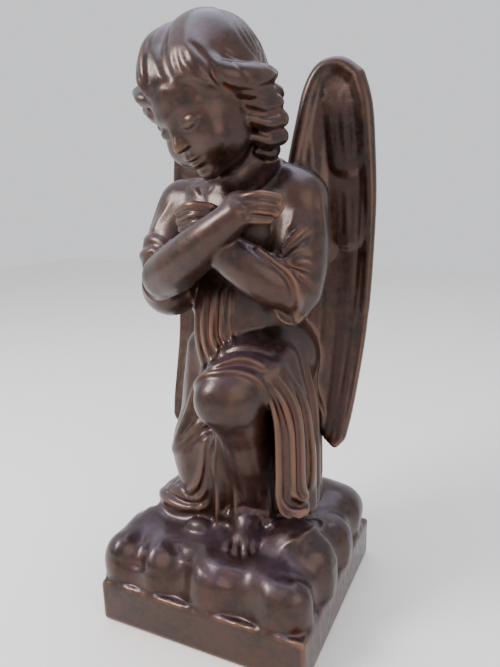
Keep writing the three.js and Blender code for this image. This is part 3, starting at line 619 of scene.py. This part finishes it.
def addHair(clay):
    clay.add(ball((-11, -22, 586), (53, 58, 56), headAxes), 5)
    clay.add(headBall(0, -34, -10, (46, 36, 46)), 12)
    clay.add(tube([(8, 2, 560), (14, 4, 530), (18, 4, 512)], [34, 28, 20]), 10)
    # the two waves that part over the brow
    clay.add(tube(curve([(-34, -16, 624), (-45, -38, 616), (-48, -58, 603), (-47, -70, 588), (-45, -79, 573),
                         (-43, -83, 562)]), [16, 15, 15, 15, 12.5, 6]), 5)
    clay.add(tube(curve([(-16, -8, 625), (-15, -34, 617), (-9, -56, 602), (-2, -71, 588), (5, -81, 576),
             (14, -82, 567),
                         (22, -76, 562)]), [16, 20, 20, 18, 13, 8, 5]), 5)
    # swept back to the left temple
    clay.add(tube(curve([(8, -72, 584), (18, -72, 576), (30, -64, 571), (41, -47, 571), (48, -30, 575),
             (52, -17, 579)]),
                  [8, 11, 13, 14, 11.5, 6]), 7)
    clay.add(tube(curve([(24, -70, 566), (36, -56, 562), (46, -38, 560), (52, -22, 562)]), [5, 7, 8, 7]), 3)
    curls = [  # where each curl starts, its middle and its tip, and its radius
        ((32, -46, 554), (45, -32, 550), (53, -14, 553), 9),
        ((36, -38, 538), (48, -24, 535), (55, -8, 539), 9.5),
        ((34, -30, 522), (46, -16, 519), (52, 0, 524), 9), ((34, -16, 510), (42, -4, 508), (42, 6, 512), 8),
        ((-46, -76, 554), (-60, -70, 559), (-72, -57, 567), 8),
        ((-40, -64, 540), (-56, -58, 545), (-69, -47, 553), 7.5),
        ((-42, -50, 536), (-54, -44, 536), (-60, -32, 540), 8),
        ((-62, -44, 576), (-71, -32, 572), (-70, -18, 574), 10),
        ((-58, -30, 556), (-64, -18, 552), (-60, -4, 556), 10),
        ((-48, -26, 538), (-52, -12, 534), (-44, 0, 538), 10),
        ((44, 2, 570), (40, 14, 566), (30, 22, 570), 11), ((46, 6, 550), (40, 18, 546), (28, 24, 550), 10),
        ((42, 8, 532), (34, 18, 528), (22, 22, 531), 10), ((20, 28, 562), (8, 34, 558), (-4, 32, 562), 11),
        ((20, 28, 541), (8, 32, 537), (-4, 30, 541), 10), ((14, 24, 524), (4, 26, 520), (-8, 22, 524), 9),
        ((-18, 30, 566), (-30, 28, 562), (-42, 20, 567), 11),
        ((-16, 28, 545), (-28, 24, 541), (-38, 16, 546), 10),
        ((-52, 10, 574), (-62, 2, 570), (-66, -10, 574), 11)]
    for start, middle, tip, radius in curls:
        clay.add(tube(curve([start, middle, tip]), [radius * 0.5, radius, radius]), 1.5)
    return curls


def carveCurls(clay, curls):
    for start, middle, tip, radius in curls:
        axis = np.array(tip) - np.array(start)
        out = np.cross(axis, [0, 0, 1.0])
        away = np.array(middle) - np.array([-9, -20, middle[2]])
        out *= np.sign(out @ away) * radius / np.linalg.norm(out)
        for up, width, height in ((0.3, 2.6, -1.1), (-0.35, 2.6, -1.1), (-1.05, 4, -2.6), (1.05, 4, -1.6)):
            line = curve([np.array(p) + out * (1 if abs(up) < 1 else 0.75) + (0, 0, up * radius)
                          for p in (start, middle, tip)])
            clay.draw(line, width, [height * 0.3, height, height])


def combHair(clay):
    parting = curve([(-38, -20, 640), (-38, -42, 628), (-34, -60, 612), (-27, -76, 594), (-21, -88, 580),
             (-15, -95, 571)])
    clay.draw(parting, [4, 7, 9, 9, 7], [-1, -4, -6, -6, -4])
    hairline = curve([(-45, -82, 553), (-38, -88, 560), (-24, -93, 566), (-4, -96, 563), (14, -91, 558),
             (28, -80, 555),
                      (38, -64, 551)])
    clay.draw(hairline, 5.5, [-1, -1.7, -1.7, -1.7, -1.7, -1.2])
    comb(clay, [(-42, -26, 638), (-50, -52, 622), (-46, -76, 598), (-40, -88, 570)],
         [(-54, -28, 630), (-66, -46, 612), (-68, -60, 590), (-52, -78, 564)], 4, 3.6, -2)
    for route, width, depth in (([(4, -88, 602), (10, -84, 592), (17, -79, 580), (26, -72, 568),
             (34, -62, 562)], 5, -4.5),
                                ([(-12, -92, 596), (-9, -95, 586), (-4, -96, 576), (4, -95, 568)], 4, -1.6),
                                ([(-2, -92, 596), (2, -92, 586), (9, -90, 576), (18, -86, 566)], 4, -2)):
        clay.draw(curve(route), width, [depth * 0.3, depth, depth, depth * 0.5], 1.3)
    comb(clay, [(-10, -8, 645), (10, -10, 634), (28, -6, 614), (42, -4, 594)],
         [(-18, -14, 644), (10, -36, 628), (32, -40, 604), (48, -24, 590)], 6, 3.6, -1.9)
    comb(clay, [(24, -60, 592), (36, -48, 586), (48, -32, 584), (57, -18, 586)],
         [(20, -78, 570), (32, -68, 564), (48, -44, 562), (58, -22, 568)], 4, 3.2, -1.7)
    crown = np.array((-20, 2, 638))
    for k in range(15):  # locks falling from the crown round the back
        angle = math.radians(-112 + 16 * k)
        out = np.array((math.sin(angle), math.cos(angle), 0))
        side = np.array((out[1], -out[0], 0))
        line = [crown + out * (6 + 50 * math.sin(t * 1.45)) + side * 5 * math.sin(t * 5 + k)
                + (0, 0, -62 * t * t + 4)
                for t in np.linspace(0.15, 1.05, 9)]
        clay.draw(curve(line), [3, 5, 5, 5], [-0.8, -2.4, -2.6, -2])
        between = [p + side * 7 for p in line]
        clay.draw(curve(between), 3, -1.1)


# Wings.
wing = {
    "inner": [(30, 370), (31, 440), (37, 500), (43, 545), (50, 582), (64, 604), (87, 607), (109, 593)],
    "outer": [(109, 593), (119.5, 562), (125, 515), (129.5, 460), (129.5, 400), (127, 335), (123, 275),
             (119, 225), (115, 198)],
    "low": [(105, 187), (90, 198), (76, 240), (58, 305), (30, 370)],
    "depths": [16, 32, 52, 69, 76, 79, 81, 83, 84, 85],  # every 50 mm up from 150
    "half": 5.0, "shift": {-1: 5.5, 1: 0.0},  # the right wing stands a little closer in
    "feathers": [  # root, tip, half-width, rise at the tip
        ((84, 606), (102, 484), 21, 6), ((56, 566), (66, 462), 14, 4), ((98, 500), (104, 406), 20, 5),
        ((66, 490), (76, 392), 16, 5), ((122, 480), (116, 196), 8, 2.4), ((108, 430), (106, 190), 9, 3.6),
        ((93, 420), (93, 200), 10, 3), ((78, 410), (80, 232), 10, 3.6), ((62, 400), (66, 280), 10, 3)],
}


def flatCurve(points, steps=4):
    return curve([(x, 0, z) for x, z in points], steps)[:, [0, 2]]


def wingOutline():
    low = np.array(wing["low"][:1])
    return np.vstack([flatCurve(wing["inner"]), flatCurve(wing["outer"])[1:], low,
             flatCurve(wing["low"][1:])[:-1]])


def wingDepth(x, z):  # the tips come forward beside the skirt, and the blade is hollow
    places = np.linspace(150, 600, len(wing["depths"]))
    smoothed = curve([(z0, d, 0) for z0, d in zip(places, wing["depths"])], 5)
    outer = np.interp(z, smoothed[:, 0], smoothed[:, 1])
    inward = clamp01((128 - x) / 100)
    return outer - 30 * inward * smooth((610 - z) / 180) + 7 * np.sin(np.pi * clamp01((x - 36) / 92))


def toOutline(outline, x, z):
    best, inside = np.full(x.shape, 1e9), np.zeros(x.shape, bool)
    for a, b in zip(np.roll(outline, 1, 0), outline):
        d = b - a
        t = clamp01(((x - a[0]) * d[0] + (z - a[1]) * d[1]) / max(d @ d, 1e-6))
        best = np.minimum(best, np.hypot(x - a[0] - d[0] * t, z - a[1] - d[1] * t))
        if a[1] != b[1]:
            inside ^= ((a[1] > z) != (b[1] > z)) & (x < a[0] + (z - a[1]) / d[1] * d[0])
    return np.where(inside, -best, best)


def featherRise(x, z):
    rise = np.zeros(np.broadcast_shapes(x.shape, z.shape))
    for root, tip, half, top in wing["feathers"]:
        dx, dz = tip[0] - root[0], tip[1] - root[1]
        length = math.hypot(dx, dz)
        along = ((x - root[0]) * dx + (z - root[1]) * dz) / length
        across = ((x - root[0]) * dz - (z - root[1]) * dx) / length / half
        r = np.hypot(across, np.maximum(0, along - (length - half)) / half)
        height = top * clamp01(along / length) ** 0.6 * np.sqrt(clamp01(1 - r ** 4))
        rise = np.maximum(rise, np.where((along < 0) | (r > 1), 0, height))
    return rise


def addWings(clay):
    outline = wingOutline()

    for side in (-1, 1):
        def distance(x, y, z):
            flatX, flatZ = np.broadcast_arrays(x * side + wing["shift"][side], z)
            edge = toOutline(outline, flatX, flatZ)
            half = wing["half"] + featherRise(flatX, flatZ)
            across = np.abs(y - wingDepth(flatX, flatZ)) - half + 4
            outside = np.hypot(np.maximum(edge + 4, 0), np.maximum(across, 0))
            return outside + np.minimum(np.maximum(edge + 4, across), 0) - 4

        box = ((20, -10, 180), (142, 110, 622)) if side > 0 else ((-142, -10, 180), (-20, 110, 622))
        clay.add((*box, distance), 6)
        rim, radii = [], []
        for x, z in outline:
            if z > 330 and (x > 60 or z > 470):
                px, pz = x + (84 - x) * 0.12, z + (480 - z) * 0.045
                rim.append(((px - wing["shift"][side]) * side, wingDepth(px, pz) - 3, pz))
                radii.append(5 + 3.5 * float(smooth((z - 380) / 160)))
        clay.add(tube(rim, radii), 5)
        # root at the shoulder blade
        clay.add(limb((26 * side, 30, 440), (48 * side, 54, 480), 22, 14), 14)


def carveWings(clay):  # quills, barbs and the layered outer edge
    for side in (-1, 1):
        def onWing(x, z, forward):
            return ((x - wing["shift"][side]) * side, wingDepth(x, z) + forward, z)

        for root, tip, half, _ in wing["feathers"]:
            places = [(blendOf(root[0], tip[0], t), blendOf(root[1], tip[1], t))
                      for t in np.linspace(0.2, 0.97, 8)]
            for face in (-1, 1):
                line = clay.snap([onWing(x, z, face * 12) for x, z in places])
                clay.stroke(line, 3, [0, 1, 1, 0.6] if half > 12 else [0, -1.3, -1.3, -0.8])
                if half > 12:
                    for offset in (-0.55, -0.28, 0.28, 0.55):
                        barbs = [onWing(x + offset * half, z, face * 12) for x, z in places[1:-1]]
                        clay.draw(barbs, 2.6, [0, -0.7, -0.7, 0])
        for inset in (5, 10, 16):
            edge = [(x - inset, z) for x, z in flatCurve(wing["outer"]) if 200 < z < 545]
            clay.draw([onWing(x, z, -11) for x, z in edge], 2.8, [0, -1.5, -1.5, -1])


# From clay to mesh.
def settle(clay):  # keeps the surface off the grid points and free of doubled edges
    field, least = clay.field, 0.05 * clay.cell
    field[(field >= 0) & (field < least)] = least
    field[(field < 0) & (field > -least)] = -least
    for _ in range(4):
        for a, b in ((0, 1), (1, 2), (0, 2)):
            corner = [np.s_[:-1] if i in (a, b) else np.s_[:] for i in range(3)]
            shift = {i: [np.s_[1:] if i == k else c for k, c in enumerate(corner)] for i in (a, b)}
            both = [np.s_[1:] if i in (a, b) else np.s_[:] for i in range(3)]
            p, q, r, s = (field[tuple(k)] for k in (corner, both, shift[a], shift[b]))
            first = (p < 0) & (q < 0) & (r > 0) & (s > 0)
            second = (p > 0) & (q > 0) & (r < 0) & (s < 0)
            r[first] = -least
            p[second] = -least


def skin(clay):  # a closed mesh of squares round everything inside the surface
    f = clay.field
    inside = f < 0
    nx, ny, nz = f.shape
    total = np.zeros((nx - 1, ny - 1, nz - 1), np.int8)
    for dx in (0, 1):
        for dy in (0, 1):
            for dz in (0, 1):
                total += inside[dx:nx - 1 + dx, dy:ny - 1 + dy, dz:nz - 1 + dz]
    cells = np.argwhere((total > 0) & (total < 8))
    number = np.full(total.shape, -1, np.int32)
    number[tuple(cells.T)] = np.arange(len(cells))
    place = np.zeros((len(cells), 3))
    weight = np.zeros(len(cells))
    corners = [np.array((c & 1, c >> 1 & 1, c >> 2)) for c in range(8)]
    for i in range(8):
        for axis in range(3):
            if corners[i][axis]:
                continue
            near, far = corners[i], corners[i] + np.eye(3, dtype=int)[axis]
            a = f[tuple((cells + near).T)]
            b = f[tuple((cells + far).T)]
            crossed = (a < 0) != (b < 0)
            t = np.where(crossed, a / np.where(crossed, a - b, 1), 0)
            place += crossed[:, None] * (near + t[:, None] * (far - near))
            weight += crossed
    place = cells + place / weight[:, None]
    vertices = clay.low + place * clay.cell
    faces = []
    for axis in range(3):
        u, v = (axis + 1) % 3, (axis + 2) % 3
        low = [np.s_[1:-1]] * 3
        low[axis] = np.s_[:-1]
        high = list(low)
        high[axis] = np.s_[1:]
        a, b = inside[tuple(low)], inside[tuple(high)]
        for change, flip in ((a & ~b, False), (~a & b, True)):
            where = np.argwhere(change) + 1
            where[:, axis] -= 1
            du, dv = np.eye(3, dtype=int)[u], np.eye(3, dtype=int)[v]
            ring = [where - du - dv, where - dv, where, where - du]
            quad = np.stack([number[tuple(r.T)] for r in ring], 1)
            faces.append(quad[:, ::-1] if flip else quad)
    return vertices, np.concatenate(faces)


def meshFrom(name, vertices, faces):
    mesh = bpy.data.meshes.new(name)
    mesh.vertices.add(len(vertices))
    mesh.vertices.foreach_set("co", (vertices * work["mm"]).astype(np.float32).ravel())
    mesh.loops.add(faces.size)
    mesh.loops.foreach_set("vertex_index", faces.astype(np.int32).ravel())
    mesh.polygons.add(len(faces))
    mesh.polygons.foreach_set("loop_start", np.arange(0, faces.size, 4, dtype=np.int32))
    mesh.update(calc_edges=True)
    mesh.validate()
    piece = bpy.data.objects.new(name, mesh)
    bpy.context.collection.objects.link(piece)
    return piece


def modelStatue():
    clay = Clay(work["low"], work["high"], work["cell"])
    for mass in (addMound, addLegs, addTorso, addSkirt, addKneelingCloth, addCurtain, cutHollow, addShin,
             addWings,
                 addSleeves, addArms, addFoot, addHead):
        mass(clay)
    curls = addHair(clay)
    clay.melt(2)
    for carve in (carveMound, carveFoot, carveWings, carveNeckline, carveFrontFolds, carveKneelingCloth,
             carveCurtain, carveSleeves, carveHands,
                  carveFace, combHair):
        carve(clay)
    carveCurls(clay, curls)
    clay.melt(1)
    return clay


# How deep each spot lies, for the patina and for the painted shade in the recesses.
def meltedField(clay, radius):  # the field averaged over a block this wide, in mm
    reach = max(1, round(radius / clay.cell))
    field = np.clip(clay.field, -radius, radius)
    for axis in range(3):
        padded = np.concatenate([np.repeat(np.take(field, [0], axis), reach + 1, axis), field,
                                 np.repeat(np.take(field, [-1], axis), reach, axis)], axis)
        total = np.cumsum(padded, axis, dtype=np.float32)
        size = field.shape[axis]
        ahead = np.take(total, np.arange(size) + 2 * reach + 1, axis)
        field = (ahead - np.take(total, np.arange(size), axis)) / (2 * reach + 1)
    return field


def paint(piece, clay):  # writes the measures for patina, painted shade and sheen, and true normals
    mesh = piece.data
    points = np.empty(len(mesh.vertices) * 3, np.float32)
    mesh.vertices.foreach_get("co", points)
    points = points.reshape(-1, 3) / work["mm"]
    step = np.eye(3) * clay.cell
    slope = np.stack([clay.sample(points + e) - clay.sample(points - e) for e in step], -1)
    slope /= np.linalg.norm(slope, axis=1, keepdims=True) + 1e-6
    exact = clay.field
    # crease feeds the patina's rust and worn edges; recess feeds the painted shade in the recesses
    for name, radius in (("crease", 5.0), ("recess", 16.0)):
        clay.field = meltedField(clay, radius)
        values = -clay.sample(points) / radius
        mesh.attributes.new(name, "FLOAT", "POINT").data.foreach_set("value", values.astype(np.float32))
        clay.field = exact
    # upward feeds the painted sky sheen on what faces up
    mesh.attributes.new("upward", "FLOAT", "POINT").data.foreach_set("value", slope[:, 2].astype(np.float32))
    mesh.normals_split_custom_set_from_vertices(slope.tolist())


# Materials.
def hexColor(code):  # sRGB hex to linear
    parts = [int(code[i:i + 2], 16) / 255 for i in (0, 2, 4)]
    return [c / 12.92 if c <= 0.04045 else ((c + 0.055) / 1.055) ** 2.4 for c in parts] + [1.0]


def node(tree, kind, inputs=None, **settings):
    made = tree.nodes.new("ShaderNode" + kind)
    for name, value in settings.items():
        setattr(made, name, value)
    for name, value in (inputs or {}).items():
        socket = made.inputs[name]
        if isinstance(value, bpy.types.NodeSocket):
            tree.links.new(value, socket)
        else:
            socket.default_value = value
    return made


def ramp(tree, factor, stops):  # blends between (place, value) stops
    made = node(tree, "ValToRGB", {"Fac": factor})
    band = made.color_ramp
    while len(band.elements) < len(stops):
        band.elements.new(0.5)
    for element, (place, value) in zip(band.elements, stops):
        element.position = place
        element.color = value if isinstance(value, list) else [value] * 3 + [1.0]
    return made.outputs["Color"]


def noise(tree, where, size, detail=3.0, rough=0.55):  # size in mm
    made = node(tree, "TexNoise", {"Vector": where, "Scale": 1 / (size * work["mm"]), "Detail": detail,
                                   "Roughness": rough})
    return made.outputs["Fac"]


def over(tree, factor, below, above):
    made = node(tree, "Mix", {0: factor, 6: below, 7: above}, data_type="RGBA")
    return made.outputs[2]


def times(tree, a, b):
    return node(tree, "Math", {0: a, 1: b}, operation="MULTIPLY").outputs[0]


# Bronze with a hand-rubbed brown patina under wax: red-brown and rusty in the creases, worn warm on the
# edges; near-black painted shade in the recesses, and a violet-grey painted sheen of sky on what faces up.
patina = {
    "cloud": 46, "streak": 9, "grain": 1.6, "dents": 14,  # sizes of its patches, runs and pits, mm
    # the near-black colour on this line is painted shade for the recesses
    "dark": "1e130e", "brown": "38211a", "run": "4a2b1b", "rust": "5a2610", "hollow": "0d0908",
    # the violet-grey colour on this line is a painted sheen of sky reflection
    "paintedSkySheen": "564c60", "worn": "8a6248",
    "roughness": (0.28, 0.46), "metal": 0.55, "wax": 0.35, "waxRoughness": 0.22,
}


def bronzePatinaPaintedLight():
    material = bpy.data.materials.new("bronze_patina")
    material.use_nodes = True
    tree = material.node_tree
    shader = tree.nodes["Principled BSDF"]
    where = node(tree, "TexCoord").outputs["Object"]
    crease = node(tree, "Attribute", attribute_name="crease").outputs["Fac"]
    recess = node(tree, "Attribute", attribute_name="recess").outputs["Fac"]
    upward = node(tree, "Attribute", attribute_name="upward").outputs["Fac"]
    cloud = noise(tree, where, patina["cloud"], 4)
    streak = noise(tree, where, patina["streak"], 4, 0.65)
    grain = noise(tree, where, patina["grain"], 2)
    color = over(tree, ramp(tree, cloud, [(0.35, 0.0), (0.62, 1.0)]), hexColor(patina["dark"]),
             hexColor(patina["brown"]))
    color = over(tree, times(tree, ramp(tree, streak, [(0.42, 0.0), (0.66, 1.0)]), 0.55), color,
             hexColor(patina["run"]))
    color = over(tree, times(tree, ramp(tree, crease, [(0.10, 0.0), (0.32, 1.0)]),
                             ramp(tree, streak, [(0.30, 0.35), (0.60, 1.0)])), color,
                             hexColor(patina["rust"]))
    # Painted shade: near black in the deeper recesses, standing in for the shade that falls there.
    color = over(tree, ramp(tree, recess, [(0.14, 0.0), (0.48, 0.9)]), color, hexColor(patina["hollow"]))
    # Painted sheen: violet-grey on what faces up, standing in for the sky's reflection.
    color = over(tree, times(tree, ramp(tree, upward, [(0.35, 0.0), (0.95, 0.5)]),
                             ramp(tree, cloud, [(0.40, 0.2), (0.60, 1.0)])), color,
                             hexColor(patina["paintedSkySheen"]))
    rubbed = node(tree, "Math", {0: crease, 1: -1.0}, operation="MULTIPLY").outputs[0]
    color = over(tree, times(tree, ramp(tree, rubbed, [(0.10, 0.0), (0.32, 1.0)]), 0.5), color,
             hexColor(patina["worn"]))
    shade = ramp(tree, streak, [(0.3, patina["roughness"][0]), (0.7, patina["roughness"][1])])
    pits = node(tree, "Bump", {"Height": grain, "Strength": 0.25, "Distance": 0.0006})
    soft = node(tree, "Bump", {"Height": noise(tree, where, patina["dents"], 2), "Strength": 0.35,
             "Distance": 0.0015,
                               "Normal": pits.outputs["Normal"]})
    tree.links.new(color, shader.inputs["Base Color"])
    tree.links.new(shade, shader.inputs["Roughness"])
    tree.links.new(soft.outputs["Normal"], shader.inputs["Normal"])
    shader.inputs["Metallic"].default_value = patina["metal"]
    shader.inputs["Coat Weight"].default_value = patina["wax"]
    shader.inputs["Coat Roughness"].default_value = patina["waxRoughness"]
    return material


def paleFloor():
    material = bpy.data.materials.new("pale_floor")
    material.use_nodes = True
    shader = material.node_tree.nodes["Principled BSDF"]
    shader.inputs["Base Color"].default_value = hexColor(studio["floorColor"])
    shader.inputs["Roughness"].default_value = 0.8
    return material


# The statue.
clay = modelStatue()
settle(clay)
vertices, faces = skin(clay)
print("clay", len(faces), "squares")
statue = meshFrom("angel_casting", vertices, faces)
bpy.context.view_layer.objects.active = statue
thin = statue.modifiers.new("thin", "DECIMATE")
thin.ratio = min(1.0, work["triangles"] / (2 * len(faces)))
bpy.ops.object.modifier_apply(modifier=thin.name)
statue.data.polygons.foreach_set("use_smooth", [True] * len(statue.data.polygons))
paint(statue, clay)
statue.data.materials.append(bronzePatinaPaintedLight())
print("statue", len(statue.data.polygons), "faces")

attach(statue, "root")
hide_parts("kneeling_angel")

# Floor, lights and camera.
view = {"place": (0.2795, -0.5564, 0.4686), "yaw": -25.52, "pitch": 13.6, "roll": -1.32,
        "focal": 575.0, "rows": 667.0, "film": 36.0}
studio = {
    "floor": 6.0, "floorColor": "f2f1ef",
    "key": {"from": (-1.1, -1.0, 1.5), "size": 0.7, "power": 42.0, "color": "fff8f2"},
    "fill": {"from": (1.3, -0.9, 0.9), "size": 1.2, "power": 10.0, "color": "ffe6d2"},
    "top": {"from": (0.0, 0.3, 1.9), "size": 1.4, "power": 16.0, "color": "dfe6ff"},
    "sky": ("fafbff", 0.95),
}


def addFloor():
    bpy.ops.mesh.primitive_plane_add(size=studio["floor"], location=(0, 0, 0))
    floor = bpy.context.object
    floor.name = "floor"
    floor.data.materials.append(paleFloor())


def addLight(name):
    settings = studio[name]
    data = bpy.data.lights.new(name + "_light", "AREA")
    data.energy = settings["power"]
    data.size = settings["size"]
    data.color = hexColor(settings["color"])[:3]
    lamp = bpy.data.objects.new(name + "_light", data)
    lamp.location = settings["from"]
    towards = Vector((0, 0, 0.3)) - lamp.location
    lamp.rotation_euler = towards.to_track_quat("-Z", "Y").to_euler()
    bpy.context.collection.objects.link(lamp)


def addCamera():
    data = bpy.data.cameras.new("camera")
    data.sensor_width = view["film"]
    data.lens = view["focal"] * view["film"] / view["rows"]
    data.clip_start = 0.01
    camera = bpy.data.objects.new("camera", data)
    yaw, pitch, roll = (math.radians(view[k]) for k in ("yaw", "pitch", "roll"))
    turned = (Matrix.Rotation(-yaw, 3, "Z") @ Matrix.Rotation(math.pi / 2 - pitch, 3, "X")
              @ Matrix.Rotation(roll, 3, "Z"))
    camera.matrix_world = Matrix.Translation(view["place"]) @ turned.to_4x4()
    bpy.context.collection.objects.link(camera)
    bpy.context.scene.camera = camera


addFloor()
for name in ("key", "fill", "top"):
    addLight(name)
addCamera()
world = bpy.data.worlds.new("world")
world.use_nodes = True
background = world.node_tree.nodes["Background"]
background.inputs["Color"].default_value = hexColor(studio["sky"][0])
background.inputs["Strength"].default_value = studio["sky"][1]
bpy.context.scene.world = world
print("studio ready")
